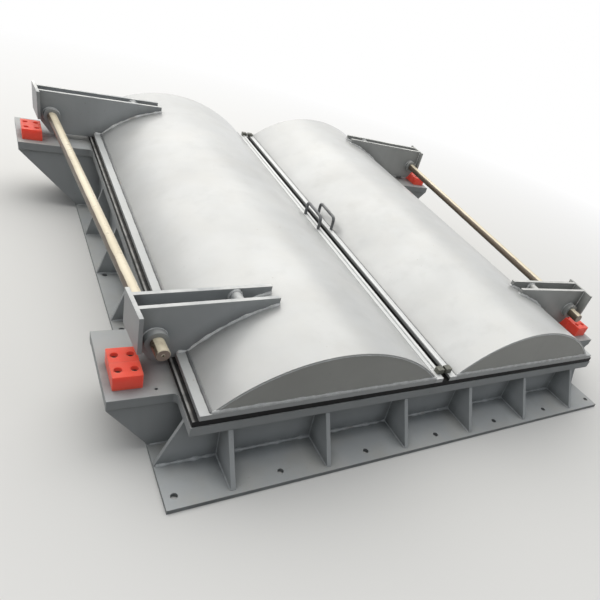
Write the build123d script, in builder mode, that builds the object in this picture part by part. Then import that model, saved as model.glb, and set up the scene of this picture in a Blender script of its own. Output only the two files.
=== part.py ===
from build123d import *
from math import cos, radians, sin, tan
import os

# Double flap gate lying on its mounting flange, seal side up.
# Millimetres. X across the two leaves, Y along the hinges, Z up.
# The origin is the centre of the flange's underside.
# The seat is not parallel to the flange. It rises towards +Y, so everything from
# the seat up is drawn level and then tilted about the middle of the seat's underside.

os.makedirs("parts", exist_ok=True)

# Seat plate that the leaves close on
seat_slope = 3.1
seat_half_x = 989.0
seat_half_y = 1253.0
seat_middle_top = 291.0
seat_thickness = 36.0
seat_width = 110.0

# Mounting flange, reaching out past the seat plate
flange_reach_x = 78.0
flange_reach_y = 113.0
flange_thickness = 16.0
flange_opening_inset = 12.0
bolt_hole_radius = 11.0
bolt_edge_x = 32.0
bolt_edge_y = 48.0
end_bolts = 7
side_bolts = 5

# Walls and ribs between flange and seat plate
wall_thickness = 14.0
wall_inset_x = 38.0
wall_inset_y = 64.0
rib_thickness = 16.0
rib_seat_margin = 2.0
end_rib_flange_margin = 16.0
side_rib_flange_margin = 3.0
side_rib_spread = 0.888
side_rib_middle = 24.0

# Mullion under the seam
mullion_web = 16.0
mullion_width = 130.0
mullion_seat = 20.0

# Rubber seal between the seat plate and the leaves
seal_thickness = 23.0
seal_width = 74.0
seal_inset = 4.0
seal_gap = 0.3

# Leaves
leaf_plate_thickness = 20.0
leaf_inset_x = 23.0
leaf_inset_y = 3.0
leaf_inner_x = 17.0
leaf_rim = 90.0
shell_from_side = 35.0
shell_from_seam = 36.0
shell_from_end = 6.0
shell_rise = 176.0
shell_thickness = 8.0
end_plate_thickness = 10.0

# Hinge shafts, splayed so that their far ends stand further out
shaft_radius = 22.5
shaft_from_seat = 112.0
shaft_splay = 3.84
shaft_above_seat = 117.0
shaft_overhang = 89.0

# Hinge arms, square to the shafts
arm_from_end = 334.0
arm_width = 88.0
arm_plate_thickness = 16.0
arm_above_seat = 232.0
arm_below_leaf = 18.0
arm_over_shell = 300.0
arm_heel = 8.0
stop_distance = 63.0
stop_thickness = 13.0
stop_overhang_out = 48.0
stop_overhang_in = 28.0
stop_below_shaft = 20.0
boss_radius = 38.0
boss_length = 27.0
tube_radius = 22.0
tube_from_tip = 134.0
tube_below_top = 30.0

# Hinge platforms, cut from one plate with the seat, and the bearings on them
platform_from_arm = 14.0
platform_length = 334.0
platform_reach = 150.0
platform_lip = 6.0
platform_corner = 16.0
platform_hole_radius = 5.0
platform_hole_from_seat = 57.0
platform_hole_from_edge = 30.0
bracket_thickness = 14.0
bracket_inset = 5.0
bracket_flange_margin = 2.0
eye_radius = 36.0
eye_width = 36.0
eye_foot_inner = 42.0
eye_foot_outer = 24.0
shaft_clearance = 0.1

# Rubber buffers
buffer_width = 86.0
buffer_length = 68.0
buffer_gap = 1.0
buffer_top_gap = 1.5
buffer_from_shaft = 47.0
buffer_from_edge = 42.0
buffer_hole_radius = 9.0
buffer_counterbore_radius = 12.0
buffer_counterbore_depth = 22.0
buffer_hole_pitch = 46.0

# Handles, seam bars and the lugs at both ends of the seam
handle_radius = 8.0
handle_width = 170.0
handle_height = 72.0
handle_middle_y = 15.0
seam_bar_width = 14.0
seam_bar_thickness = 6.0
lug_length = 26.0
lug_height = 22.0
lug_from_end = 37.0
lug_gap = 11.0
lug_from_shell = 18.0

# Outlines that follow from the seat plate's
flange_half_x = seat_half_x + flange_reach_x
flange_half_y = seat_half_y + flange_reach_y
leaf_outer_x = seat_half_x - leaf_inset_x
leaf_half_y = seat_half_y - leaf_inset_y
shell_outer_x = leaf_outer_x - shell_from_side
shell_inner_x = leaf_inner_x + shell_from_seam
shell_half_y = leaf_half_y - shell_from_end
shaft_x = seat_half_x + shaft_from_seat
arm_centre_y = seat_half_y - arm_from_end
arm_tip_x = shell_outer_x - arm_over_shell
platform_centre_y = arm_centre_y + platform_from_arm

# Bolts and ribs share the flange's length between its corners evenly
end_bolt_pitch = 2 * (flange_half_x - bolt_edge_x) / (end_bolts - 1)
side_bolt_pitch = 2 * (flange_half_y - bolt_edge_y) / (side_bolts + 1)
side_rib_pitch = side_rib_spread * side_bolt_pitch

# Levels
seat_top = seat_middle_top
seat_bottom = seat_top - seat_thickness
leaf_bottom = seat_top + seal_thickness
leaf_top = leaf_bottom + leaf_plate_thickness
arm_top = seat_top + arm_above_seat
shaft_z = seat_top + shaft_above_seat
arm_bottom = leaf_top - arm_below_leaf
wall_outer_x = seat_half_x - wall_inset_x
wall_outer_y = seat_half_y - wall_inset_y
near, far = -1, 1
left, right = -1, 1
level_to_seat = Pos(0, 0, seat_bottom) * Rot(seat_slope, 0, 0) * Pos(0, 0, -seat_bottom)
seat_underside = level_to_seat * Plane.XY.offset(seat_bottom)


def underside(y):
    """Height of the seat plate's underside above a point of the flange."""
    return seat_bottom + y * tan(radians(seat_slope))


def shaft_offset(y):
    """Distance of a shaft's axis from the middle plane at a given Y."""
    return shaft_x + y * tan(radians(shaft_splay))


def finish(name, piece, tilted=True):
    """Put a finished piece in place, label it and write it to its own file."""
    if tilted:
        piece = level_to_seat * piece
    piece.label = name
    export_step(piece, "parts/" + name + ".step")


def side_name(side):
    return "left" if side == left else "right"


def end_name(end):
    return "near" if end == near else "far"


# Mounting flange with its ring of bolt holes
with BuildPart() as base_flange:
    with BuildSketch():
        Rectangle(2 * flange_half_x, 2 * flange_half_y)
        opening_x = wall_outer_x - wall_thickness - flange_opening_inset
        opening_y = wall_outer_y - wall_thickness - flange_opening_inset
        Rectangle(2 * opening_x, 2 * opening_y, mode=Mode.SUBTRACT)
    extrude(amount=flange_thickness)
    with BuildSketch():
        for end in (near, far):
            for i in range(end_bolts):
                x = (i - (end_bolts - 1) / 2) * end_bolt_pitch
                with Locations((x, end * (flange_half_y - bolt_edge_y))):
                    Circle(bolt_hole_radius)
        for side in (left, right):
            for i in range(side_bolts):
                y = (i - (side_bolts - 1) / 2) * side_bolt_pitch
                with Locations((side * (flange_half_x - bolt_edge_x), y)):
                    Circle(bolt_hole_radius)
    extrude(amount=flange_thickness, mode=Mode.SUBTRACT)
finish("base_flange", base_flange.part, tilted=False)


def platform_outer(end):
    """Distance of a platform's outer edge from the middle plane."""
    return shaft_offset(end * arm_centre_y) + platform_reach


def is_inner_corner(vertex):
    """True for a corner between a platform's edge and the seat plate's side."""
    on_side = abs(abs(vertex.X) - seat_half_x) < 0.01
    return on_side and abs(vertex.Y) < seat_half_y - 1


# Seat plate with the four hinge platforms
with BuildPart() as seat_plate:
    with BuildSketch(Plane.XY.offset(seat_bottom)) as outline:
        Rectangle(2 * seat_half_x, 2 * seat_half_y)
        for end in (near, far):
            with Locations((0, end * platform_centre_y)):
                Rectangle(2 * platform_outer(end), platform_length)
        fillet(outline.vertices().filter_by(is_inner_corner), platform_corner)
        Rectangle(2 * (seat_half_x - seat_width), 2 * (seat_half_y - seat_width), mode=Mode.SUBTRACT)
        hole_x = seat_half_x + platform_hole_from_seat
        hole_y = platform_centre_y + platform_length / 2 - platform_hole_from_edge
        with GridLocations(2 * hole_x, 2 * hole_y, 2, 2):
            Circle(platform_hole_radius, mode=Mode.SUBTRACT)
    extrude(amount=seat_thickness)
finish("seat_plate", seat_plate.part)

# Walls between flange and seat plate
for end in (near, far):
    with BuildPart() as end_wall:
        with BuildSketch(Plane.XZ.offset(-end * wall_outer_y)):
            reach = flange_half_x - seat_half_x
            rise = underside(end * wall_outer_y) - flange_thickness
            Polygon(
                (-flange_half_x, flange_thickness),
                (flange_half_x, flange_thickness),
                (seat_half_x - reach, flange_thickness + 2 * rise),
                (-seat_half_x + reach, flange_thickness + 2 * rise),
                align=None,
            )
        extrude(amount=end * wall_thickness)
        split(bisect_by=seat_underside, keep=Keep.BOTTOM)
    finish(end_name(end) + "_wall", end_wall.part, tilted=False)

wall_inner_y = wall_outer_y - wall_thickness
for side in (left, right):
    with BuildPart() as side_wall:
        with BuildSketch(Plane.YZ.offset(side * wall_outer_x)):
            Polygon(
                (-wall_inner_y, flange_thickness),
                (wall_inner_y, flange_thickness),
                (wall_inner_y, underside(wall_inner_y)),
                (-wall_inner_y, underside(-wall_inner_y)),
                align=None,
            )
        extrude(amount=-side * wall_thickness)
    finish(side_name(side) + "_wall", side_wall.part, tilted=False)

# Ribs outside the end walls, one between each two bolts
end_rib_places = [(i - end_bolts / 2 + 1) * end_bolt_pitch for i in range(end_bolts - 1)]
for end in (near, far):
    seat_edge_y = end * (seat_half_y - rib_seat_margin) * cos(radians(seat_slope))
    with BuildPart() as end_ribs:
        for x in end_rib_places:
            with BuildSketch(Plane.YZ.offset(x - rib_thickness / 2)):
                Polygon(
                    (end * wall_outer_y, flange_thickness),
                    (end * (flange_half_y - end_rib_flange_margin), flange_thickness),
                    (seat_edge_y, underside(seat_edge_y)),
                    (end * wall_outer_y, underside(end * wall_outer_y)),
                    align=None,
                )
            extrude(amount=rib_thickness)
    finish(end_name(end) + "_ribs", end_ribs.part, tilted=False)


def side_rib(side, y, thickness, outer, margin):
    """Upright plate outside a side wall, cut off under the seat plate."""
    rise = underside(y) - flange_thickness
    foot = flange_half_x - margin
    with BuildPart() as rib:
        with BuildSketch(Plane.XZ.offset(-y - thickness / 2)):
            Polygon(
                (side * wall_outer_x, flange_thickness),
                (side * foot, flange_thickness),
                (side * outer, flange_thickness + rise - platform_lip),
                (side * outer, flange_thickness + rise + 2 * thickness),
                (side * wall_outer_x, flange_thickness + rise + 2 * thickness),
                align=None,
            )
        extrude(amount=thickness)
        split(bisect_by=seat_underside, keep=Keep.BOTTOM)
    return rib.part


# Ribs outside the side walls
side_rib_places = [side_rib_middle + i * side_rib_pitch for i in (-1, 0, 1)]
for side in (left, right):
    with BuildPart() as side_ribs:
        for y in side_rib_places:
            add(side_rib(side, y, rib_thickness, seat_half_x - rib_seat_margin, side_rib_flange_margin))
    finish(side_name(side) + "_ribs", side_ribs.part, tilted=False)

# Mullion under the seam, a plate on edge with a seat strip on top
with BuildPart() as mullion_head:
    with BuildSketch(Plane.XY.offset(seat_bottom)):
        Rectangle(mullion_web, 2 * (seat_half_y - seat_width))
    extrude(amount=seat_thickness)
    with BuildSketch(Plane.XY.offset(seat_top - mullion_seat)):
        Rectangle(mullion_width, 2 * (seat_half_y - seat_width))
    extrude(amount=mullion_seat)
with BuildPart() as centre_mullion:
    with BuildSketch(Plane.YZ.offset(-mullion_web / 2)):
        Polygon(
            (-wall_inner_y, flange_thickness),
            (wall_inner_y, flange_thickness),
            (wall_inner_y, underside(wall_inner_y)),
            (-wall_inner_y, underside(-wall_inner_y)),
            align=None,
        )
    extrude(amount=mullion_web)
    add(level_to_seat * mullion_head.part)
finish("centre_mullion", centre_mullion.part, tilted=False)

# Rubber seal around the seat and along the mullion
with BuildPart() as frame_seal:
    with BuildSketch(Plane.XY.offset(seat_top)):
        Rectangle(2 * (seat_half_x - seal_inset), 2 * (seat_half_y - seal_inset))
        inner = seal_inset + seal_width
        Rectangle(2 * (seat_half_x - inner), 2 * (seat_half_y - inner), mode=Mode.SUBTRACT)
        Rectangle(mullion_width, 2 * (seat_half_y - inner))
    extrude(amount=seal_thickness - seal_gap)
finish("frame_seal", frame_seal.part)


# Brackets, bearings and buffers of the platforms
def brackets(side, end):
    """Two sloped plates from a platform down to the flange."""
    spread = platform_length / 2 - bracket_inset - bracket_thickness / 2
    with BuildPart() as plates:
        for face in (-1, 1):
            y = (end * platform_centre_y + face * spread) * cos(radians(seat_slope))
            add(side_rib(side, y, bracket_thickness, platform_outer(end), bracket_flange_margin))
    return plates.part


def shaft_plane(side, y):
    """Plane square to a shaft where it crosses Y, its X pointing outward."""
    lean = radians(shaft_splay)
    origin = (side * shaft_offset(y), y, shaft_z)
    outward = (side * cos(lean), -sin(lean), 0)
    along = (-sin(lean), -side * cos(lean), 0)
    return Plane(origin=origin, x_dir=outward, z_dir=along)


def bearing(side, end):
    """Eye around the shaft, on a foot that leans inward clear of the stop plate."""
    plane = shaft_plane(side, end * arm_centre_y)
    foot_top = seat_top - shaft_z
    with BuildPart() as block:
        with BuildSketch(plane):
            Circle(eye_radius)
            with BuildLine():
                Polyline(
                    (-18, 31),
                    (-eye_foot_inner, -40),
                    (-eye_foot_inner, foot_top),
                    (-eye_foot_outer, foot_top),
                    (-eye_foot_outer, 0),
                    (-18, 31),
                )
            make_face()
            Circle(shaft_radius + shaft_clearance, mode=Mode.SUBTRACT)
        extrude(amount=eye_width / 2, both=True)
    return block.part


def buffers(side, end):
    """Two red rubber blocks side by side on a platform."""
    height = shaft_z - seat_top - stop_distance - buffer_top_gap
    start = end * platform_centre_y - platform_length / 2 + buffer_from_edge
    pair_y = start + buffer_length + buffer_gap / 2
    centre_x = side * (shaft_offset(pair_y) + buffer_from_shaft + buffer_width / 2)
    with BuildPart() as blocks:
        for i in range(2):
            y = start + buffer_length / 2 + i * (buffer_length + buffer_gap)
            with BuildSketch(Plane.XY.offset(seat_top)):
                with Locations((centre_x, y)):
                    RectangleRounded(buffer_width, buffer_length, 4)
            extrude(amount=height)
            with BuildSketch(Plane.XY.offset(seat_top)):
                with Locations((centre_x, y)):
                    with GridLocations(buffer_hole_pitch, 0, 2, 1):
                        Circle(buffer_hole_radius)
            extrude(amount=height, mode=Mode.SUBTRACT)
            with BuildSketch(Plane.XY.offset(seat_top + height - buffer_counterbore_depth)):
                with Locations((centre_x, y)):
                    with GridLocations(buffer_hole_pitch, 0, 2, 1):
                        Circle(buffer_counterbore_radius)
            extrude(amount=buffer_counterbore_depth, mode=Mode.SUBTRACT)
    return blocks.part


for side in (left, right):
    for end in (near, far):
        corner = end_name(end) + "_" + side_name(side)
        finish(corner + "_bearing", bearing(side, end))
        finish(corner + "_buffers", buffers(side, end))
    with BuildPart() as side_brackets:
        for end in (near, far):
            add(brackets(side, end))
    finish(side_name(side) + "_brackets", side_brackets.part, tilted=False)

# Leaves
shell_mid_x = (shell_outer_x + shell_inner_x) / 2
shell_half_span = (shell_outer_x - shell_inner_x) / 2
shell_radius = (shell_half_span**2 + shell_rise**2) / (2 * shell_rise)
shell_centre_z = leaf_top + shell_rise - shell_radius


def leaf_plate(side):
    """Flat rim plate that closes on the seal."""
    middle = side * (leaf_outer_x + leaf_inner_x) / 2
    width = leaf_outer_x - leaf_inner_x
    with BuildPart() as plate:
        with BuildSketch(Plane.XY.offset(leaf_bottom)):
            with Locations((middle, 0)):
                Rectangle(width, 2 * leaf_half_y)
                Rectangle(width - 2 * leaf_rim, 2 * (leaf_half_y - leaf_rim), mode=Mode.SUBTRACT)
        extrude(amount=leaf_plate_thickness)
    return plate.part


def segment(radius):
    """Circular segment above the leaf plate, about the shell's centre, in the XZ sketch plane."""
    half = (radius**2 - (leaf_top - shell_centre_z) ** 2) ** 0.5
    top = shell_centre_z + radius
    return half, top


def shell(side):
    """Arched skin plate of one leaf."""
    outer_half, outer_top = segment(shell_radius)
    inner_half, inner_top = segment(shell_radius - shell_thickness)
    x = side * shell_mid_x
    with BuildPart() as skin:
        with BuildSketch(Plane.XZ.offset(-shell_half_y)):
            with BuildLine():
                ThreePointArc((x - outer_half, leaf_top), (x, outer_top), (x + outer_half, leaf_top))
                Line((x + outer_half, leaf_top), (x + inner_half, leaf_top))
                ThreePointArc((x + inner_half, leaf_top), (x, inner_top), (x - inner_half, leaf_top))
                Line((x - inner_half, leaf_top), (x - outer_half, leaf_top))
            make_face()
        extrude(amount=2 * shell_half_y)
    return skin.part


def end_plates(side):
    """Segment plates that close both ends of the arch, just inside the skin."""
    half, top = segment(shell_radius - shell_thickness)
    x = side * shell_mid_x
    with BuildPart() as plates:
        for end in (near, far):
            with BuildSketch(Plane.XZ.offset(-end * shell_half_y)):
                with BuildLine():
                    ThreePointArc((x - half, leaf_top), (x, top), (x + half, leaf_top))
                    Line((x + half, leaf_top), (x - half, leaf_top))
                make_face()
            extrude(amount=end * end_plate_thickness)
    return plates.part


def arm(side, end):
    """Two side plates cut to the arch, hub bosses, cross tube and stop plate."""
    plane = shaft_plane(side, end * arm_centre_y)
    tip = -(shaft_offset(end * arm_centre_y) - arm_tip_x) / cos(radians(shaft_splay))
    outer = stop_distance - stop_thickness / 2
    top = arm_top - shaft_z
    bottom = arm_bottom - shaft_z
    low, high = arm_width / 2 + stop_overhang_in, arm_width / 2 + stop_overhang_out
    if side == end:
        low, high = high, low
    with BuildPart() as body:
        for start in (-arm_width / 2, arm_width / 2 - arm_plate_thickness):
            with BuildSketch(plane.offset(start)):
                Polygon(
                    (outer, top),
                    (tip, top),
                    (tip, bottom),
                    (arm_heel, bottom),
                    (outer, -stop_below_shaft),
                    align=None,
                )
            extrude(amount=arm_plate_thickness)
        with BuildSketch(plane.offset(-arm_width / 2)):
            with Locations((tip + tube_from_tip, top - tube_below_top)):
                Circle(tube_radius)
        extrude(amount=arm_width)
        with BuildSketch(Plane.XZ.offset(-leaf_half_y)):
            with Locations((side * shell_mid_x, shell_centre_z)):
                Circle(shell_radius)
            with Locations((side * leaf_outer_x / 2, leaf_top - leaf_plate_thickness)):
                Rectangle(leaf_outer_x, 2 * leaf_plate_thickness)
        extrude(amount=2 * leaf_half_y, mode=Mode.SUBTRACT)
        with BuildSketch(plane.offset(-arm_width / 2 - boss_length)):
            Circle(boss_radius)
        extrude(amount=arm_width + 2 * boss_length)
        with BuildSketch(plane.offset(-low)):
            with Locations((stop_distance - stop_thickness / 2, (top - stop_below_shaft) / 2)):
                Rectangle(stop_thickness, top + stop_below_shaft)
        extrude(amount=low + high)
        with BuildSketch(plane.offset(-arm_width / 2 + arm_plate_thickness)):
            Rectangle(2 * (stop_distance - stop_thickness), 4 * boss_radius)
        extrude(amount=arm_width - 2 * arm_plate_thickness, mode=Mode.SUBTRACT)
        with BuildSketch(plane.offset(-arm_width)):
            Circle(shaft_radius)
        extrude(amount=2 * arm_width, mode=Mode.SUBTRACT)
    return body.part


def shaft(side):
    """Long turning shaft through both arms of a leaf."""
    half = (arm_centre_y + arm_width / 2 + shaft_overhang) / cos(radians(shaft_splay))
    with BuildPart() as bar:
        with BuildSketch(shaft_plane(side, 0).offset(-half)):
            Circle(shaft_radius)
        extrude(amount=2 * half)
        chamfer(bar.edges().filter_by(GeomType.CIRCLE), 2)
    return bar.part


def handle(side):
    """Bent bar handle standing on the rim beside the seam."""
    x = side * (leaf_inner_x + seam_bar_width + handle_radius)
    with BuildPart() as grip:
        with BuildLine(Plane.YZ.offset(x)) as route:
            FilletPolyline(
                (handle_middle_y - handle_width / 2, leaf_top),
                (handle_middle_y - handle_width / 2, leaf_top + handle_height),
                (handle_middle_y + handle_width / 2, leaf_top + handle_height),
                (handle_middle_y + handle_width / 2, leaf_top),
                radius=20,
            )
        with BuildSketch(Plane(origin=(x, handle_middle_y - handle_width / 2, leaf_top), z_dir=(0, 0, 1))):
            Circle(handle_radius)
        sweep()
    return grip.part


def seam_bar(side):
    """Flat bar that clamps the seam rubber on one leaf."""
    x = side * (leaf_inner_x + seam_bar_width / 2)
    lug_start = leaf_half_y - lug_from_end - lug_length / 2
    with BuildPart() as bar:
        with BuildSketch(Plane.XY.offset(leaf_top)):
            with Locations((x, 0)):
                Rectangle(seam_bar_width, 2 * lug_start)
        extrude(amount=seam_bar_thickness)
    return bar.part


def seam_lugs(side):
    """Small block at each end of the seam, reaching part of the way over the gap."""
    inner = lug_gap / 2
    outer = shell_inner_x - lug_from_shell
    with BuildPart() as lugs:
        with BuildSketch(Plane.XY.offset(leaf_top)):
            for end in (near, far):
                with Locations((side * (inner + outer) / 2, end * (leaf_half_y - lug_from_end))):
                    Rectangle(outer - inner, lug_length)
        extrude(amount=lug_height)
    return lugs.part


for side in (left, right):
    leaf = side_name(side) + "_leaf"
    finish(leaf + "_plate", leaf_plate(side))
    finish(leaf + "_shell", shell(side))
    finish(leaf + "_end_plates", end_plates(side))
    for end in (near, far):
        finish(end_name(end) + "_" + side_name(side) + "_arm", arm(side, end))
    finish(side_name(side) + "_shaft", shaft(side))
    finish(side_name(side) + "_handle", handle(side))
    finish(side_name(side) + "_seam_bar", seam_bar(side))
    finish(side_name(side) + "_seam_lugs", seam_lugs(side))
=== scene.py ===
"""Paint, small added pieces, floor, light and camera of the double flap gate.

The solids come from the frame and keep their shapes. Lengths are in metres, with X
across the two leaves, Y along the hinges to the far end and Z up. As in the solids,
everything from the seat up is drawn level and then tilted to the seat's slope.
"""

import math
import random

import bpy
from mathutils import Euler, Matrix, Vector


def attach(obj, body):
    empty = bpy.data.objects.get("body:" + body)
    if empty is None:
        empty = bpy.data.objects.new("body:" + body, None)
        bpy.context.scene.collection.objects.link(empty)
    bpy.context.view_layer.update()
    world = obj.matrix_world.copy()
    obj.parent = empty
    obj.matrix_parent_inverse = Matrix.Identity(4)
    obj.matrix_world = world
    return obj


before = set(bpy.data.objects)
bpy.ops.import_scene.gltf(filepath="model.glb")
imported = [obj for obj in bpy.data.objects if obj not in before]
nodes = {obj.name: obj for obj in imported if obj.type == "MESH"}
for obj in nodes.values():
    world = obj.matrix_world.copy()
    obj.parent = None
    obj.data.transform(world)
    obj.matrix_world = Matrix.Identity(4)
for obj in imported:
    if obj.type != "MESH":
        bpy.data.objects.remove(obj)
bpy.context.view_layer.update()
draw = random.Random(7)

# Sizes of the solids that the added pieces sit on
SLOPE = math.radians(3.1)
SPLAY = math.radians(3.84)
FLANGE_X, FLANGE_Y, FLANGE_TOP = 1.067, 1.366, 0.016
WALL_X, WALL_Y, WALL = 0.951, 1.189, 0.014
SEAT_X, SEAT_Y, SEAT_LOW, SEAT_TOP = 0.989, 1.253, 0.255, 0.291
RIB = 0.016
END_RIB_COUNT, END_RIB_PITCH = 6, 0.345
END_RIBS = [END_RIB_PITCH * (i - (END_RIB_COUNT - 1) / 2) for i in range(END_RIB_COUNT)]
SIDE_RIB_MIDDLE, SIDE_RIB_PITCH = 0.024, 0.888 * 2.636 / 6
SIDE_RIBS = [SIDE_RIB_MIDDLE + SIDE_RIB_PITCH * i for i in (-1, 0, 1)]
BRACKET, BRACKET_SPREAD = 0.014, 0.155
PLATFORM_Y, PLATFORM_LENGTH, PLATFORM_REACH = 0.933, 0.334, 0.150
LEAF_TOP, LEAF_X, SEAM_GAP = 0.334, 0.966, 0.017
SHELL_OUT, SHELL_IN, SHELL_RISE, SHELL_Y, SKIN = 0.931, 0.053, 0.176, 1.244, 0.008
ARM_Y, ARM_WIDTH, ARM_PLATE, ARM_TOP, ARM_TIP = 0.919, 0.088, 0.016, 0.523, 0.631
STOP_INNER, STOP_LOW = 0.050, -0.020
BOSS_RADIUS, TUBE_RADIUS, TUBE_FROM_TIP, TUBE_DROP = 0.038, 0.022, 0.134, 0.030
SHAFT_X, SHAFT_Z, SHAFT_OVERHANG = 1.101, 0.408, 0.089
SHAFT_HALF = (ARM_Y + ARM_WIDTH / 2 + SHAFT_OVERHANG) / math.cos(SPLAY)
BUFFER_WIDTH, BUFFER_LENGTH, BUFFER_HEIGHT, BUFFER_GAP = 0.086, 0.068, 0.0525, 0.001
BUFFER_FROM_SHAFT, BUFFER_FROM_EDGE = 0.047, 0.042
BUFFER_HOLE_PITCH, BUFFER_HOLE_DEPTH = 0.046, 0.022
HANDLE_X, HANDLE_RADIUS, HANDLE_FEET = 0.039, 0.008, (-0.070, 0.100)
SIDES = (("left", -1), ("right", 1))
ALONG_X, ALONG_Y, UP = (1.0, 0.0, 0.0), (0.0, 1.0, 0.0), (0.0, 0.0, 1.0)

shell_middle = (SHELL_OUT + SHELL_IN) / 2
half_span = (SHELL_OUT - SHELL_IN) / 2
shell_radius = (half_span ** 2 + SHELL_RISE ** 2) / (2 * SHELL_RISE)
shell_centre = LEAF_TOP + SHELL_RISE - shell_radius


def tilted(x, y, z):
    """A point drawn level with the seat, turned to the seat's slope."""
    rise = z - SEAT_LOW
    return Vector((x, y * math.cos(SLOPE) - rise * math.sin(SLOPE),
                   SEAT_LOW + y * math.sin(SLOPE) + rise * math.cos(SLOPE)))


def turned(x, y, z):
    """A direction drawn level with the seat, turned to the seat's slope."""
    return tilted(x, y, z + SEAT_LOW) - Vector((0, 0, SEAT_LOW))


def underside(y):
    """Height of the seat plate's underside."""
    return SEAT_LOW + y * math.tan(SLOPE)


def shaft_offset(y):
    """A shaft's distance from the seam."""
    return SHAFT_X + y * math.tan(SPLAY)


def shell_height(x):
    """Height of a leaf's outside at a distance from the seam, level with the seat."""
    if abs(x) >= SHELL_OUT:
        return LEAF_TOP
    reach = abs(x) - shell_middle
    return max(LEAF_TOP, shell_centre + math.sqrt(shell_radius ** 2 - reach ** 2))


def colour(tint, share=1.0):
    """An sRGB tint of 0 to 255, made lighter or darker by share, as linear values."""
    def linear(value):
        value /= 255
        return value / 12.92 if value <= 0.04045 else ((value + 0.055) / 1.055) ** 2.4
    return tuple(linear(min(255, value * share)) for value in tint) + (1.0,)


seat_x, seat_y, seat_up = turned(*ALONG_X), turned(*ALONG_Y), turned(*UP)


# Node trees

class NodeTree:
    """The nodes of a material or world, with short calls for the kinds used here."""

    def __init__(self, tree):
        self.nodes, self.links = tree.nodes, tree.links

    def put(self, socket, value):
        """Links another node's output to the socket, or sets the socket's own value."""
        if isinstance(value, bpy.types.NodeSocket):
            self.links.new(value, socket)
        else:
            socket.default_value = value

    def add(self, kind, inputs=None, **settings):
        """A new node. inputs are put on its sockets, settings are its own properties."""
        node = self.nodes.new(kind)
        for key, value in settings.items():
            setattr(node, key, value)
        for key, value in (inputs or {}).items():
            self.put(node.inputs[key], value)
        return node

    def ramp(self, value, low, high, start=0.0, end=1.0):
        """A value that runs from low to high as one from start to end, and no further."""
        return self.add("ShaderNodeMapRange", {
            "Value": value, "From Min": low, "From Max": high,
            "To Min": start, "To Max": end}).outputs["Result"]

    def math(self, operation, a, b=0.0):
        return self.add("ShaderNodeMath", {0: a, 1: b}, operation=operation).outputs[0]

    def blend(self, factor, a, b):
        """One shader turning into another."""
        return self.add("ShaderNodeMixShader", {0: factor, 1: a, 2: b}).outputs[0]

    def seen_directly(self):
        """1 for rays from the camera or off glossy and clear surfaces, else 0."""
        path = self.nodes.new("ShaderNodeLightPath").outputs
        total = path["Is Camera Ray"]
        for name in ("Is Glossy Ray", "Is Transmission Ray"):
            total = self.math("MAXIMUM", total, path[name])
        return total


class Tree(NodeTree):
    """A new material's nodes around its Principled shader."""

    NOISE_ROUGHNESS = 0.55
    CLOSED_CORNER = 0.45            # ambient occlusion at which a corner is closed
    OFF_EDGE, ON_EDGE = 0.97, 0.80  # dot product of the rounded and the true normal

    def __init__(self, name):
        self.material = bpy.data.materials.new(name)
        self.material.use_nodes = True
        super().__init__(self.material.node_tree)
        self.shader = self.nodes["Principled BSDF"]
        coordinates = self.nodes.new("ShaderNodeTexCoord").outputs
        self.place, self.normal = coordinates["Object"], coordinates["Normal"]

    def noise(self, scale, detail, stretch=None):
        place = self.place
        if stretch:
            place = self.add("ShaderNodeMapping", {"Vector": place, "Scale": stretch}).outputs[0]
        return self.add("ShaderNodeTexNoise", {
            "Vector": place, "Scale": scale, "Detail": detail,
            "Roughness": self.NOISE_ROUGHNESS}).outputs["Fac"]

    def patches(self, scale, detail, low, high, least=0.0, most=1.0, stretch=None):
        """Cloudy patches: least where the noise is under low, most where it is over high."""
        return self.ramp(self.noise(scale, detail, stretch), low, high, least, most)

    def dot(self, a, b):
        return self.add("ShaderNodeVectorMath", {0: a, 1: b},
                        operation="DOT_PRODUCT").outputs["Value"]

    def distance_along(self, axis):
        """Distance from the origin along an axis, to either side of it."""
        return self.math("ABSOLUTE", self.dot(self.place, axis))

    def upward(self, start):
        """1 on a face that looks straight up, 0 on one turned away from that to start."""
        return self.ramp(self.dot(self.normal, UP), start, 1.0)

    def mix(self, factor, a, b):
        node = self.nodes.new("ShaderNodeMix")
        node.data_type = "RGBA"
        sockets = {socket.identifier: socket for socket in node.inputs}
        self.put(sockets["Factor_Float"], factor)
        self.put(sockets["A_Color"], a)
        self.put(sockets["B_Color"], b)
        return next(s for s in node.outputs if s.identifier == "Result_Color")

    def crevice(self, reach):
        """Towards 1 deep in a corner, 0 on an open face."""
        node = self.add("ShaderNodeAmbientOcclusion", {"Distance": reach}, samples=6)
        return self.ramp(node.outputs["AO"], self.CLOSED_CORNER, 1.0, 1.0, 0.0)

    def soft_edges(self, radius):
        """The normal rounded along sharp edges, and how near an edge is."""
        rounded = self.add("ShaderNodeBevel", {"Radius": radius}, samples=4).outputs["Normal"]
        flat = self.nodes.new("ShaderNodeNewGeometry").outputs["True Normal"]
        return rounded, self.ramp(self.dot(rounded, flat), self.OFF_EDGE, self.ON_EDGE)

    def bump(self, height, depth, strength=1.0, normal=None):
        """The normal of a surface raised by height, over another normal or the mesh's."""
        node = self.add("ShaderNodeBump", {
            "Height": height, "Distance": depth, "Strength": strength})
        if normal:
            self.put(node.inputs["Normal"], normal)
        return node.outputs["Normal"]

    def surface(self, base, roughness, normal=None, settings=None):
        """Fills in the shader. settings are the values that are the same all over."""
        for key, value in {"Base Color": base, "Roughness": roughness, **(settings or {})}.items():
            self.put(self.shader.inputs[key], value)
        if normal:
            self.put(self.shader.inputs["Normal"], normal)
        return self.material


# Materials

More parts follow.
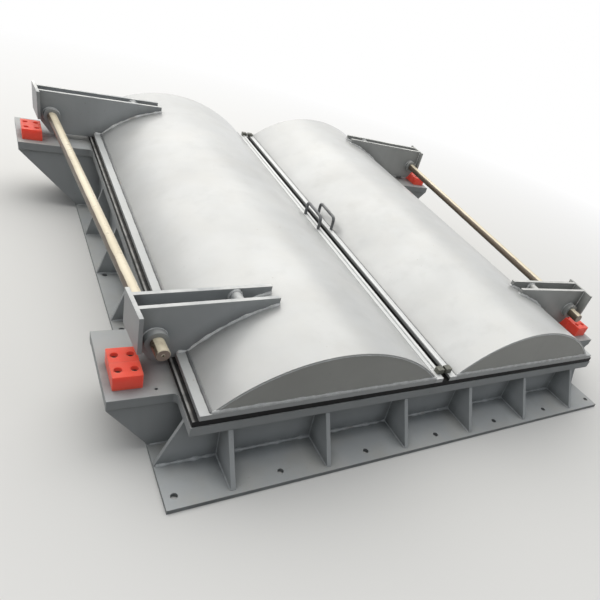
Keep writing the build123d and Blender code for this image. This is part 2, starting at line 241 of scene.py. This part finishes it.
# The second dust colour is a pale film that is a painted highlight on the arms' top faces.
DUST, PAINTED_TOP_HIGHLIGHT = (186, 180, 166), (246, 246, 242)
# The first colour here is painted shade in corners. The other two are painted shade in the gap
# between the leaves, the darker one deep down.
CORNER_SHADE, GAP_SHADE, GAP_SHADE_TOP = (84, 86, 86), (38, 38, 38), (150, 152, 152)
# The first lightens edges, as wear and as a painted highlight. The second is a painted highlight
# on the leaf plate's rim.
WORN_AND_HIGHLIGHT_EDGE, PAINTED_RIM_HIGHLIGHT = (208, 210, 210), (218, 220, 220)
RUST_SPECK, WELD_RUST = (116, 84, 62), (132, 104, 80)
OIL_LIGHT, OIL_DARK, OIL_STAIN = (230, 220, 196), (216, 205, 180), (150, 128, 98)
# The first is a painted dark reflection on the shafts' undersides.
SHAFT_DARK_REFLECTION, SAWN_END = (88, 74, 60), (170, 150, 138)
# The second is a scuffed line along the seal's edge that is partly a painted highlight.
RUBBER_DUST, SEAL_SCUFF_AND_HIGHLIGHT = (170, 160, 146), (174, 174, 172)
# The colour of a painted glow that the red buffers give off, though they are no lamp.
RED_GLOW = (1.0, 0.13, 0.09, 1.0)
RIM_BLUR = 0.003                        # half the width of the soft edge of the rim's painted highlight
GAP_SHADE_NEAR, GAP_SHADE_FAR = 0.0005, 0.0015    # the painted shade in the gap fades out between these, past the seam
GAP_SHADE_HIGH, GAP_SHADE_LOW = 0.007, 0.012      # it darkens between these, under the leaf's top
SCUFF_AND_HIGHLIGHT_IN, SCUFF_AND_HIGHLIGHT_OUT = 0.013, 0.009      # the scuffed, highlighted line starts between these, from the edge
GRINDING = 2600.0                       # turning marks along a shaft, in radians a metre
DARK_REFLECTION_SIDE = (-0.866, 0.0, -0.5)        # where the side of a shaft with the painted dark reflection looks


def seam_marks(tree, base):
    """The leaf plate's rim lightened as a painted highlight, and painted shade in the gap between
    the leaves.
    """
    across = tree.distance_along(ALONG_X)
    level = tree.dot(tree.place, tuple(seat_up))
    top = tilted(0, 0, LEAF_TOP).dot(seat_up)
    # The rim between the seam and the shell's foot is lightened, a painted highlight.
    rim = tree.ramp(across, SHELL_IN + RIM_BLUR, SHELL_IN - RIM_BLUR)
    base = tree.mix(rim, base, colour(PAINTED_RIM_HIGHLIGHT))
    # Painted shade in the gap between the leaves: near black deep down, dark grey near the top.
    gap = tree.ramp(across, SEAM_GAP + GAP_SHADE_FAR, SEAM_GAP + GAP_SHADE_NEAR)
    depth = tree.ramp(level, top - GAP_SHADE_LOW, top - GAP_SHADE_HIGH)
    return tree.mix(gap, base, tree.mix(depth, colour(GAP_SHADE), colour(GAP_SHADE_TOP)))


def paint(name, tint, gloss, dust, dust_and_highlight_tint=DUST, waviness=0.0, corner_shade_most=0.75,
          seam=False, metallic=0.0):
    """Sprayed enamel over rolled plate, dusty on top, with painted shade in the corners and
    edges lightened as wear and as a painted highlight.

    gloss is 0 for a dull coat and 1 for a shiny one, dust the most on a level face, and
    dust_and_highlight_tint the film's colour, which when pale is a painted highlight on top faces;
    waviness is the depth of the plate's slow waves and corner_shade_most the most painted shade in
    a corner. seam adds the marks of seam_marks.
    """
    tree = Tree(name)
    base = tree.mix(tree.patches(2.2, 5.0, 0.35, 0.65), colour(tint, 0.93), colour(tint))
    runs = tree.patches(9.0, 4.0, 0.52, 0.70, most=0.25, stretch=(1.0, 1.0, 0.12))
    base = tree.mix(runs, base, colour(tint, 0.86))
    film = tree.patches(6.0, 6.0, 0.40, 0.75, most=dust)
    # A dust film on upward faces. Where its tint is pale, as on the arms, it is a painted
    # highlight.
    base = tree.mix(tree.math("MULTIPLY", tree.upward(0.5), film), base, colour(dust_and_highlight_tint))
    # Painted shade in corners and crevices, from ambient occlusion, patchy in strength.
    shade_patches = tree.patches(14.0, 4.0, 0.3, 0.7, 0.47 * corner_shade_most, corner_shade_most)
    base = tree.mix(tree.math("MULTIPLY", tree.crevice(0.06), shade_patches), base, colour(CORNER_SHADE))
    rounded, edge = tree.soft_edges(0.0022)
    # Edges lightened in patches, as worn paint and as a painted highlight.
    worn_and_highlight = tree.math("MULTIPLY", edge, tree.patches(30.0, 3.0, 0.45, 0.62, 0.10, 0.45))
    base = tree.mix(worn_and_highlight, base, colour(WORN_AND_HIGHLIGHT_EDGE))
    if seam:
        base = seam_marks(tree, base)
    specks = tree.math("MULTIPLY", tree.patches(90.0, 2.0, 0.70, 0.76),
                       tree.patches(4.0, 2.0, 0.52, 0.66))
    base = tree.mix(tree.math("MULTIPLY", specks, 0.55), base, colour(RUST_SPECK))
    roughness = tree.patches(7.0, 5.0, 0.3, 0.7, 0.50 - 0.16 * gloss, 0.62 - 0.16 * gloss)
    normal = tree.bump(tree.noise(260.0, 2.0), 0.0004, 0.25, rounded)
    if waviness:
        waves = tree.noise(3.2, 1.0, stretch=(1.0, 0.45, 1.0))
        normal = tree.bump(waves, waviness, 1.0, normal)
    return tree.surface(base, roughness, normal, {
        "Specular IOR Level": 0.22 + 0.38 * gloss, "Metallic": metallic,
        "Coat Weight": 0.45 * gloss, "Coat Roughness": 0.24})


def weld_paint(name, tint):
    """The same enamel, thin and uneven over the weld's ripples."""
    tree = Tree(name)
    base = tree.mix(tree.patches(40.0, 3.0, 0.35, 0.65), colour(tint, 0.90), colour(tint))
    base = tree.mix(tree.patches(16.0, 4.0, 0.60, 0.74, most=0.4), base, colour(WELD_RUST))
    normal = tree.bump(tree.noise(420.0, 2.0), 0.0005, 0.5)
    roughness = tree.patches(60.0, 3.0, 0.3, 0.7, 0.28, 0.5)
    return tree.surface(base, roughness, normal, {"Coat Weight": 0.3, "Coat Roughness": 0.2})


def shaft_steel(name, side):
    """Ground steel with a yellowed oil film, a painted dark reflection below and darker on the
    sawn ends.
    """
    tree = Tree(name)
    axis = tuple(turned(math.sin(SPLAY), side * math.cos(SPLAY), 0.0))
    base = tree.mix(tree.patches(5.0, 4.0, 0.35, 0.65), colour(OIL_DARK), colour(OIL_LIGHT))
    base = tree.mix(tree.patches(24.0, 5.0, 0.58, 0.74, most=0.3), base, colour(OIL_STAIN))
    # The side turned down and outward is painted dark brown, a painted reflection of dark ground.
    dark_reflection_facing = tree.math("ADD", tree.dot(tree.normal, DARK_REFLECTION_SIDE),
                      tree.patches(12.0, 4.0, 0.3, 0.7, -0.05, 0.05))
    base = tree.mix(tree.ramp(dark_reflection_facing, 0.16, 0.26, 0.0, 0.95), base, colour(SHAFT_DARK_REFLECTION))
    facing = tree.math("ABSOLUTE", tree.dot(tree.normal, axis))
    base = tree.mix(tree.ramp(facing, 0.80, 0.95), base, colour(SAWN_END))
    turns = tree.math("SINE", tree.math("MULTIPLY", tree.dot(tree.place, axis), GRINDING))
    normal = tree.bump(turns, 0.00003, 0.6, tree.soft_edges(0.0015)[0])
    roughness = tree.patches(30.0, 3.0, 0.3, 0.7, 0.26, 0.42)
    return tree.surface(base, roughness, normal, {"Metallic": 0.12})


def scuffed_and_highlighted_ledge(tree, base, upward):
    """The pale line along the outer edge of the seal's top: scuffs and a painted highlight."""
    across = tree.distance_along(ALONG_X)
    length = tree.distance_along(tuple(seat_y))
    rim = tree.math("MAXIMUM", tree.ramp(across, SEAT_X - SCUFF_AND_HIGHLIGHT_IN, SEAT_X - SCUFF_AND_HIGHLIGHT_OUT),
                    tree.ramp(length, SEAT_Y - SCUFF_AND_HIGHLIGHT_IN, SEAT_Y - SCUFF_AND_HIGHLIGHT_OUT))
    # Scuffs and a painted highlight along the seal's outer edge.
    scuff_and_highlight = tree.math("MULTIPLY", tree.math("MULTIPLY", rim, upward),
                      tree.patches(18.0, 4.0, 0.35, 0.6, 0.35, 0.85))
    return tree.mix(scuff_and_highlight, base, colour(SEAL_SCUFF_AND_HIGHLIGHT))


def rubber(name, light, dark, roughness, dust, sheen=0.0, glow=0.0, ledge=False):
    """Moulded rubber with a fine skin, dusty on top.

    glow is the share of light that soaks through red rubber; when it is set, the rubber also gets
    a painted red glow, an emission, though it is no lamp. ledge adds the pale line, scuffs and a
    painted highlight, along the seal's outer edge.
    """
    tree = Tree(name)
    base = tree.mix(tree.patches(20.0, 4.0, 0.35, 0.65), colour(dark), colour(light))
    upward = tree.upward(0.3)
    film = tree.patches(34.0, 5.0, 0.45, 0.75, most=dust)
    base = tree.mix(tree.math("MULTIPLY", upward, film), base, colour(RUBBER_DUST))
    # Painted shade in the rubber's corners, from ambient occlusion.
    base = tree.mix(tree.math("MULTIPLY", tree.crevice(0.02), 0.4), base, colour(dark, 0.5))
    if ledge:
        base = scuffed_and_highlighted_ledge(tree, base, upward)
    normal = tree.bump(tree.noise(300.0, 3.0), 0.0004, 0.3, tree.soft_edges(0.002)[0])
    settings = {"Sheen Weight": sheen, "Specular IOR Level": 0.2}
    # The share that soaks through is real; the emission with it is a painted glow.
    if glow:
        settings.update({
            "Subsurface Weight": glow, "Subsurface Radius": (1.0, 0.35, 0.25),
            "Subsurface Scale": 0.035, "Emission Color": RED_GLOW, "Emission Strength": 0.15})
    skin = tree.patches(50.0, 3.0, 0.3, 0.7, roughness - 0.06, roughness + 0.08)
    return tree.surface(base, skin, normal, settings)


def plain_metal(name, light, dark, metallic, roughness):
    """Bare or thinly painted metal, its edges lightened as a painted highlight."""
    tree = Tree(name)
    base = tree.mix(tree.patches(36.0, 4.0, 0.35, 0.65), colour(dark), colour(light))
    rounded, edge = tree.soft_edges(0.001)
    # Edges lightened, a painted highlight.
    base = tree.mix(tree.math("MULTIPLY", edge, 0.5), base, colour(light, 1.5))
    normal = tree.bump(tree.noise(500.0, 2.0), 0.0003, 0.3, rounded)
    skin = tree.patches(80.0, 3.0, 0.3, 0.7, roughness - 0.06, roughness + 0.1)
    return tree.surface(base, skin, normal, {"Metallic": metallic})


frame_paint = paint("frame_paint", (184, 188, 190), gloss=0.0, dust=0.35)
leaf_paint = paint("leaf_paint", (196, 199, 200), gloss=0.4, dust=0.2)
# The arms' paint is darker than the leaves' and has a full pale film on top: painted shade on the
# sides and a painted highlight on top.
arm_paint = paint("arm_paint", (182, 186, 188), gloss=0.4, dust=1.0, dust_and_highlight_tint=PAINTED_TOP_HIGHLIGHT)
# The right arms' and the end plates' paints are the grey paint tinted warm: painted warm light
# bounced from the ground.
right_arm_warm_lit_paint = paint("right_arm_warm_lit_paint", (184, 186, 184), gloss=0.4, dust=1.0,
                        dust_and_highlight_tint=PAINTED_TOP_HIGHLIGHT)
end_warm_lit_paint = paint("end_warm_lit_paint", (197, 198, 194), gloss=0.4, dust=0.2)
plate_paint = paint("plate_paint", (200, 203, 204), gloss=0.5, dust=0.2, corner_shade_most=0.5,
                    seam=True)
# The seam bar's paint is near white with little corner darkening, so its shaded side face reads
# light: painted light.
lightened_bar_paint = paint("lightened_bar_paint", (238, 240, 240), gloss=0.5, dust=0.1, corner_shade_most=0.2)
shell_paint = paint("shell_paint", (194, 196, 196), gloss=1.0, dust=0.15, waviness=0.010,
                    metallic=0.17)
bead_paint = weld_paint("bead_paint", (186, 190, 192))
# Copies of the weld paint: lightened as a painted highlight on the leaves' welds, and darkened as
# painted shade on the shells' outer and seam feet.
highlighted_leaf_bead_paint = weld_paint("highlighted_leaf_bead_paint", (224, 226, 226))
shaded_foot_bead_paint = weld_paint("shaded_foot_bead_paint", (112, 114, 116))
shaded_seam_bead_paint = weld_paint("shaded_seam_bead_paint", (138, 140, 141))
buffer_red = rubber("buffer_red", (250, 98, 80), (240, 86, 68), roughness=0.42, dust=0.08,
                    sheen=0.1, glow=0.9)
seal_black = rubber("seal_black", (36, 36, 37), (24, 24, 25), roughness=0.60, dust=0.12,
                    ledge=True)
dark_bar = plain_metal("dark_bar", (118, 120, 122), (94, 96, 98), 0.2, 0.4)
lug_paint = plain_metal("lug_paint", (108, 109, 100), (84, 85, 78), 0.1, 0.45)
# The screws are darkened: painted shade at the bottom of the counterbores.
shaded_bolt_metal = plain_metal("shaded_bolt_metal", (84, 56, 48), (58, 38, 34), 0.4, 0.5)
mark_metal = plain_metal("mark_metal", (196, 184, 160), (150, 136, 112), 0.8, 0.3)
# A dark disc standing for the inside of a hole: painted shade.
painted_hole_shade = plain_metal("painted_hole_shade", (40, 34, 30), (26, 22, 20), 0.1, 0.6)

# The finish of a node, by the first of these endings that its name has
FINISHES = (
    ("_shell", shell_paint), ("_buffers", buffer_red), ("frame_seal", seal_black),
    ("_lugs", lug_paint), ("_handle", dark_bar), ("_leaf_plate", plate_paint),
    ("_seam_bar", lightened_bar_paint), ("_right_arm", right_arm_warm_lit_paint), ("_arm", arm_paint),
    ("_end_plates", end_warm_lit_paint))


def finish_for(name):
    """The material of a node. Each shaft has its own, which follows its axis."""
    if name.endswith("_shaft"):
        return shaft_steel(name + "_steel", -1 if name.startswith("left") else 1)
    for ending, finish in FINISHES:
        if name.endswith(ending):
            return finish
    return leaf_paint if "leaf" in name else frame_paint


for name, node in nodes.items():
    node.data.materials.clear()
    node.data.materials.append(finish_for(name))


# Added pieces

class Piece:
    """Vertices and faces of one added piece, gathered before it becomes a mesh."""

    def __init__(self):
        self.points, self.faces = [], []

    def ring(self, centre, across, up, radius, sides, turn=0.0, hollow=1.0):
        """A closed ring of points. hollow pulls in every second one."""
        first = len(self.points)
        for i in range(sides):
            angle = turn + 2 * math.pi * i / sides
            reach = radius * (hollow if i % 2 else 1.0)
            self.points.append(centre + across * (reach * math.cos(angle))
                               + up * (reach * math.sin(angle)))
        return list(range(first, first + sides))

    def wall(self, lower, upper):
        """The faces between two rings."""
        count = len(lower)
        for i in range(count):
            j = (i + 1) % count
            self.faces.append((lower[i], lower[j], upper[j], upper[i]))

    def cap(self, ring):
        self.faces.append(tuple(ring))

    def turned_profile(self, centre, across, other, up, profile, sides, turn=0.0):
        """A closed body of rings about up, each a radius and a height."""
        rings = [self.ring(centre + up * height, across, other, radius, sides, turn)
                 for radius, height in profile]
        self.cap(reversed(rings[0]))
        for lower, upper in zip(rings, rings[1:]):
            self.wall(lower, upper)
        self.cap(rings[-1])

    def make(self, name, body, material, slot, smooth=True):
        mesh = bpy.data.meshes.new(name)
        mesh.from_pydata([tuple(point) for point in self.points], [], self.faces)
        mesh.update()
        for polygon in mesh.polygons:
            polygon.use_smooth = smooth
        mesh.materials.append(material)
        piece = bpy.data.objects.new(name, mesh)
        bpy.context.scene.collection.objects.link(piece)
        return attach(piece, body)


class Beads(Piece):
    """Weld beads: rippled ridges along the inner corners of joined plates."""

    STEP = 0.0045           # spacing of the ripples
    CORNERS = 8             # of a bead's section
    HOLLOW = 0.78           # pulls in every second corner
    TROUGH = 0.84           # size between two ripples
    END_SIZE = 0.55
    PHASE_MOST = 6.3
    SLOW_SWELL, SLOW_WAVE = 0.12, 47.0      # share of the size, and radians a metre
    FAST_SWELL, FAST_WAVE, FAST_PHASE = 0.09, 131.0, 2.3
    JITTER = 0.06
    CIRCLE_STEPS = 24

    def size(self, i, place, phase, ragged):
        """A ring's size beside the plain leg. ragged scales how uneven the bead is."""
        ripple = 1.0 if i % 2 else self.TROUGH
        return ripple + ragged * (
            self.SLOW_SWELL * math.sin(place * self.SLOW_WAVE + phase)
            + self.FAST_SWELL * math.sin(place * self.FAST_WAVE + self.FAST_PHASE * phase)
            + draw.uniform(-self.JITTER, self.JITTER))

    def run(self, path, up, wide, high=None, ragged=1.0):
        """One bead along a path. wide is its leg across, high its leg along up."""
        high = high or wide
        length = [0.0]
        for a, b in zip(path, path[1:]):
            length.append(length[-1] + (b - a).length)
        count = max(3, int(length[-1] / self.STEP))
        phase = draw.uniform(0.0, self.PHASE_MOST)
        previous, leg = None, 0
        for i in range(count + 1):
            place = length[-1] * i / count
            while leg < len(path) - 2 and place > length[leg + 1]:
                leg += 1
            start, stop = path[leg], path[leg + 1]
            share = (place - length[leg]) / max(1e-9, length[leg + 1] - length[leg])
            across = (stop - start).cross(up).normalized()
            size = self.size(i, place, phase, ragged)
            if i in (0, count):
                size *= self.END_SIZE
            ring = self.ring(start.lerp(stop, share), across * (wide * size),
                             up * (high * size), 1.0, self.CORNERS, hollow=self.HOLLOW)
            if previous:
                self.wall(previous, ring)
            else:
                self.cap(reversed(ring))
            previous = ring
        self.cap(previous)

    def line(self, start, stop, up, wide, ragged=1.0):
        """One straight bead between two points given as tuples."""
        self.run([Vector(start), Vector(stop)], Vector(up), wide, ragged=ragged)

    def circle(self, centre, axis, radius, wide):
        """A bead around a round piece."""
        across = axis.orthogonal().normalized()
        other = axis.cross(across)
        turns = (2 * math.pi * i / self.CIRCLE_STEPS for i in range(self.CIRCLE_STEPS + 1))
        self.run([centre + across * (radius * math.cos(a)) + other * (radius * math.sin(a))
                  for a in turns], axis, wide)


# Welds of the frame. A leg is how far a bead reaches over each of its two plates, a stop
# how far it ends before the plate's edge.
WALL_FOOT_LEG, WALL_FOOT_RAGGED, WALL_CORNER_LEG = 0.008, 2.2, 0.006
END_RIB_FOOT_LEG, SIDE_RIB_FOOT_LEG, RIB_ROOT_LEG, SEAT_LEG = 0.0038, 0.0045, 0.0026, 0.005
FLANGE_STOP, SEAT_STOP, RIB_SEAT_STOP = 0.004, 0.01, 0.004
END_RIB_STOP, SIDE_RIB_STOP = 0.018, 0.006


def upright_welds(beads, root, toe, top, on_wall, foot_leg):
    """The welds of one face of a rib or bracket that stands on a wall: along its foot,
    up its root and under the seat plate. root, toe and top are their ends in plan."""
    foot, head = (*root, FLANGE_TOP), (*root, underside(root[1]))
    beads.line(foot, (*toe, FLANGE_TOP), UP, foot_leg)
    beads.line(foot, head, on_wall, RIB_ROOT_LEG)
    beads.line(head, (*top, underside(top[1])), UP, SEAT_LEG)


beads = Beads()
for end in (-1, 1):
    y = end * WALL_Y
    x = FLANGE_X - FLANGE_STOP
    beads.line((-x, y, FLANGE_TOP), (x, y, FLANGE_TOP), UP, WALL_FOOT_LEG, WALL_FOOT_RAGGED)
    x = SEAT_X - SEAT_STOP
    beads.line((-x, y, underside(y)), (x, y, underside(y)), UP, SEAT_LEG)
    for middle in END_RIBS:
        for x in (middle - RIB / 2, middle + RIB / 2):
            upright_welds(beads, (x, y), (x, end * (FLANGE_Y - END_RIB_STOP)),
                          (x, end * (SEAT_Y - RIB_SEAT_STOP) * math.cos(SLOPE)),
                          ALONG_Y, END_RIB_FOOT_LEG)
for side in (-1, 1):
    x = side * WALL_X
    inner = WALL_Y - WALL
    beads.line((x, -inner, FLANGE_TOP), (x, inner, FLANGE_TOP), UP,
               WALL_FOOT_LEG, WALL_FOOT_RAGGED)
    beads.line((x, -inner, underside(-inner)), (x, inner, underside(inner)), UP, SEAT_LEG)
    for y in (-inner, inner):
        beads.line((x, y, FLANGE_TOP), (x, y, underside(y)), ALONG_Y, WALL_CORNER_LEG)
    uprights = [(y, RIB, SEAT_X - RIB_SEAT_STOP) for y in SIDE_RIBS]
    for end in (-1, 1):
        outer = shaft_offset(end * ARM_Y) + PLATFORM_REACH - RIB_SEAT_STOP
        for face in (-1, 1):
            y = (end * PLATFORM_Y + face * BRACKET_SPREAD) * math.cos(SLOPE)
            uprights.append((y, BRACKET, outer))
    for middle, thickness, outer in uprights:
        for y in (middle - thickness / 2, middle + thickness / 2):
            upright_welds(beads, (x, y), (side * (FLANGE_X - SIDE_RIB_STOP), y),
                          (side * outer, y), ALONG_X, SIDE_RIB_FOOT_LEG)
beads.make("frame_welds", "frame", bead_paint, "grey_paint")

# Welds of the leaves. Of two legs the first lies across and the second stands up.
END_PLATE_LEGS, END_PLATE_RAGGED, ARC_LEGS = (0.0060, 0.0115), 0.8, (0.0022, 0.0016)
ARM_FOOT_LEGS, ARM_FOOT_RAGGED, ARM_TIP_LEGS = (0.0070, 0.0088), 1.7, (0.006, 0.008)
STOP_LEG, STOP_WELD_LOW, STOP_WELD_HIGH = 0.0032, 0.01, 0.003
BOSS_LEG, TUBE_LEG, HANDLE_LEG = 0.0025, 0.006, 0.0028
INNER_FOOT_LEG, OUTER_FOOT_LEG, SHELL_FOOT_RAGGED = 0.0035, 0.0062, 0.5
ARC_STEPS = FOOT_STEPS = 40


class Arm:
    """Places on a hinge arm, from where its middle meets the shaft."""

    def __init__(self, side, end):
        self.origin = Vector((side * shaft_offset(end * ARM_Y), end * ARM_Y, SHAFT_Z))
        self.outward = Vector((side * math.cos(SPLAY), -math.sin(SPLAY), 0.0))
        self.along = Vector((-math.sin(SPLAY), -side * math.cos(SPLAY), 0.0))
        self.tip = -(abs(self.origin.x) - ARM_TIP) / math.cos(SPLAY)
        self.rim = -(abs(self.origin.x) - LEAF_X) / math.cos(SPLAY)

    def point(self, reach, offset, height=None):
        """A point by its reach outward from the shaft and its offset along it. Its height
        is over the shaft, or is the leaf's outside where none is given."""
        point = self.origin + self.outward * reach + self.along * offset
        level = shell_height(point.x) if height is None else SHAFT_Z + height
        return tilted(point.x, point.y, level)


def arm_welds(beads, side, end):
    """The welds of an arm's foot, stop plate, tip, hub bosses and cross tube."""
    arm = Arm(side, end)
    axis = turned(*arm.along)
    outer, inner = ARM_WIDTH / 2, ARM_WIDTH / 2 - ARM_PLATE
    top = ARM_TOP - SHAFT_Z
    for face in (-outer, -inner, inner, outer):
        beads.run([arm.point(arm.tip + (arm.rim - arm.tip) * i / FOOT_STEPS, face)
                   for i in range(FOOT_STEPS + 1)], seat_up, *ARM_FOOT_LEGS, ARM_FOOT_RAGGED)
        beads.run([arm.point(STOP_INNER, face, STOP_LOW + STOP_WELD_LOW),
                   arm.point(STOP_INNER, face, top - STOP_WELD_HIGH)],
                  turned(*arm.outward), STOP_LEG)
    for face in (-1, 1):
        beads.run([arm.point(arm.tip, face * inner), arm.point(arm.tip, face * outer)],
                  seat_up, *ARM_TIP_LEGS)
        beads.circle(arm.point(0.0, face * outer, 0.0), axis, BOSS_RADIUS, BOSS_LEG)
        beads.circle(arm.point(arm.tip + TUBE_FROM_TIP, face * inner, top - TUBE_DROP),
                     axis, TUBE_RADIUS, TUBE_LEG)


def end_plate_welds(beads, side, y):
    """The welds of a shell's end plate: along its foot, and under the skin's edge."""
    beads.run([tilted(side * x, y, LEAF_TOP) for x in (SHELL_IN, SHELL_OUT)],
              seat_up, *END_PLATE_LEGS, END_PLATE_RAGGED)
    reach, radius = math.asin(half_span / shell_radius), shell_radius - SKIN
    angles = [reach * (i / (ARC_STEPS / 2) - 1) for i in range(1, ARC_STEPS)]
    beads.run([tilted(side * (shell_middle + radius * math.sin(angle)), y,
                      shell_centre + radius * math.cos(angle)) for angle in angles],
              seat_y, *ARC_LEGS)


for side_name, side in SIDES:
    beads = Beads()
    for end in (-1, 1):
        end_plate_welds(beads, side, end * SHELL_Y)
    for end in (-1, 1):
        arm_welds(beads, side, end)
    for y in HANDLE_FEET:
        beads.circle(tilted(side * HANDLE_X, y, LEAF_TOP), seat_up, HANDLE_RADIUS, HANDLE_LEG)
    beads.make(side_name + "_leaf_welds", side_name + "_leaf", highlighted_leaf_bead_paint, "grey_paint")
    for place, x, leg, finish in (("inner", SHELL_IN, INNER_FOOT_LEG, shaded_seam_bead_paint),
                                  ("outer", SHELL_OUT, OUTER_FOOT_LEG, shaded_foot_bead_paint)):
        foot = Beads()
        foot.run([tilted(side * x, y, LEAF_TOP) for y in (-SHELL_Y, SHELL_Y)],
                 seat_up, leg, ragged=SHELL_FOOT_RAGGED)
        foot.make(side_name + "_" + place + "_foot_weld", side_name + "_leaf", finish,
                  "grey_paint")

# Screws sunk in the buffers, each a washer under a cylinder head with a socket
HEAD_RADIUS, HEAD_HEIGHT, HEAD_CHAMFER, SCREW_SIDES = 0.0095, 0.010, 0.001, 24
SOCKET_RADIUS, SOCKET_DEPTH = 0.0046, 0.005
WASHER_RADIUS, WASHER_HEIGHT, HEAD_OVER_WASHER = 0.0114, 0.0018, 0.0001
SCREW = (
    (WASHER_RADIUS, 0.0), (WASHER_RADIUS, WASHER_HEIGHT),
    (HEAD_RADIUS, WASHER_HEIGHT + HEAD_OVER_WASHER), (HEAD_RADIUS, HEAD_HEIGHT - HEAD_CHAMFER),
    (HEAD_RADIUS - HEAD_CHAMFER, HEAD_HEIGHT), (SOCKET_RADIUS, HEAD_HEIGHT),
    (SOCKET_RADIUS, HEAD_HEIGHT - SOCKET_DEPTH))

screws = Piece()
for side in (-1, 1):
    for end in (-1, 1):
        start = end * PLATFORM_Y - PLATFORM_LENGTH / 2 + BUFFER_FROM_EDGE
        pair_y = start + BUFFER_LENGTH + BUFFER_GAP / 2
        middle = shaft_offset(pair_y) + BUFFER_FROM_SHAFT + BUFFER_WIDTH / 2
        for i in range(2):
            y = start + BUFFER_LENGTH / 2 + i * (BUFFER_LENGTH + BUFFER_GAP)
            for offset in (-BUFFER_HOLE_PITCH / 2, BUFFER_HOLE_PITCH / 2):
                centre = tilted(side * middle + offset, y,
                                SEAT_TOP + BUFFER_HEIGHT - BUFFER_HOLE_DEPTH)
                screws.turned_profile(centre, seat_x, seat_y, seat_up, SCREW, SCREW_SIDES,
                                      draw.uniform(0.0, 1.0))
# Their dark colour is painted shade in the counterbores.
screws.make("buffer_screws", "frame", shaded_bolt_metal, "shaft_steel", smooth=False)

# Centre marks on the shafts' sawn ends, a raised ring around a dark disc that is painted shade for
# the hole
MARK_RING = ((0.0055, -0.001), (0.0055, 0.0003), (0.0040, 0.0005), (0.0030, 0.0001))
MARK_HOLE = ((0.0030, -0.001), (0.0030, 0.0003), (0.0022, 0.0003))
MARK_RING_SIDES, MARK_HOLE_SIDES = 24, 20

for side_name, side in SIDES:
    marks, holes = Piece(), Piece()
    axis = turned(-math.sin(SPLAY), -side * math.cos(SPLAY), 0.0)
    across = axis.orthogonal().normalized()
    other = axis.cross(across)
    for face in (-1, 1):
        centre = tilted(side * SHAFT_X, 0.0, SHAFT_Z) + axis * (face * SHAFT_HALF)
        marks.turned_profile(centre, across, other, axis * face, MARK_RING, MARK_RING_SIDES)
        holes.turned_profile(centre, across, other, axis * face, MARK_HOLE, MARK_HOLE_SIDES)
    marks.make(side_name + "_shaft_centre_rings", side_name + "_leaf", mark_metal, "shaft_steel")
    holes.make(side_name + "_shaft_centre_holes", side_name + "_leaf", painted_hole_shade, "shaft_steel")

# Floor: pale where it is seen, darker where it throws light back on the part, and
# turning to plain white with distance
FLOOR_SIZE, FLOOR_ROUGHNESS = 40.0, 0.95
FLOOR_BOUNCE, FLOOR_SEEN = (0.19, 0.18, 0.165, 1.0), (0.74, 0.74, 0.73, 1.0)
WHITE_FROM, WHITE_AT = 1.6, 5.5
WHITE = (1.0, 1.0, 1.0, 1.0)

bpy.ops.mesh.primitive_plane_add(size=FLOOR_SIZE, location=(0.0, 0.0, 0.0))
floor = bpy.context.object
floor.name = "floor"
tree = Tree("floor")
direct = tree.seen_directly()
tree.surface(tree.mix(direct, FLOOR_BOUNCE, FLOOR_SEEN), FLOOR_ROUGHNESS,
             settings={"Specular IOR Level": 0.0})
distance = tree.add("ShaderNodeVectorMath", {0: tree.place}, operation="LENGTH").outputs["Value"]
away = tree.math("MULTIPLY", tree.ramp(distance, WHITE_FROM, WHITE_AT), direct)
glow = tree.add("ShaderNodeEmission", {"Color": WHITE, "Strength": 1.0}).outputs[0]
tree.put(tree.nodes["Material Output"].inputs["Surface"],
         tree.blend(away, tree.shader.outputs[0], glow))
floor.data.materials.append(tree.material)

# World: white where it is seen, and a soft sky that is brighter overhead for the rest
SKY_COLOUR, SKY_LEAST, SKY_MOST = (0.92, 0.96, 1.0, 1.0), 0.13, 0.52

world = bpy.data.worlds.new("studio")
bpy.context.scene.world = world
world.use_nodes = True
sky = NodeTree(world.node_tree)
direction = sky.nodes.new("ShaderNodeTexCoord").outputs["Generated"]
height = sky.add("ShaderNodeSeparateXYZ", {0: direction}).outputs["Z"]
soft = sky.nodes["Background"]
sky.put(soft.inputs["Color"], SKY_COLOUR)
sky.put(soft.inputs["Strength"], sky.ramp(height, 0.0, 1.0, SKY_LEAST, SKY_MOST))
white = sky.add("ShaderNodeBackground", {"Color": WHITE})
sky.put(sky.nodes["World Output"].inputs["Surface"],
        sky.blend(sky.seen_directly(), soft.outputs[0], white.outputs[0]))

# Lamp and camera
LAMP_SIZE, LAMP_ENERGY, LAMP_COLOUR = 13.0, 695.0, (1.0, 0.965, 0.91)
LAMP_PLACE, LAMP_AIM = Vector((-0.2, 2.6, 6.5)), Vector((0, 0, 0.3))
CAMERA_PLACE = (-1.3814, -2.3683, 1.3935)
CAMERA_TURN = (57.477, -16.510, -31.405)
SENSOR_WIDTH, LENS, SHIFT_X, SHIFT_Y = 36.0, 31.42, -0.1396, 0.0646

lamp_data = bpy.data.lights.new("overhead", "AREA")
lamp_data.shape = "DISK"
lamp_data.size = LAMP_SIZE
lamp_data.energy = LAMP_ENERGY
lamp_data.color = LAMP_COLOUR
lamp = bpy.data.objects.new("overhead", lamp_data)
bpy.context.scene.collection.objects.link(lamp)
lamp.location = LAMP_PLACE
lamp.rotation_euler = (LAMP_AIM - LAMP_PLACE).to_track_quat("-Z", "Y").to_euler()

camera_data = bpy.data.cameras.new("camera")
camera = bpy.data.objects.new("camera", camera_data)
bpy.context.scene.collection.objects.link(camera)
bpy.context.scene.camera = camera
camera.location = CAMERA_PLACE
camera.rotation_euler = Euler([math.radians(angle) for angle in CAMERA_TURN])
camera_data.sensor_width = SENSOR_WIDTH
camera_data.lens = LENS
camera_data.shift_x = SHIFT_X
camera_data.shift_y = SHIFT_Y

bpy.context.scene.view_settings.view_transform = "Standard"
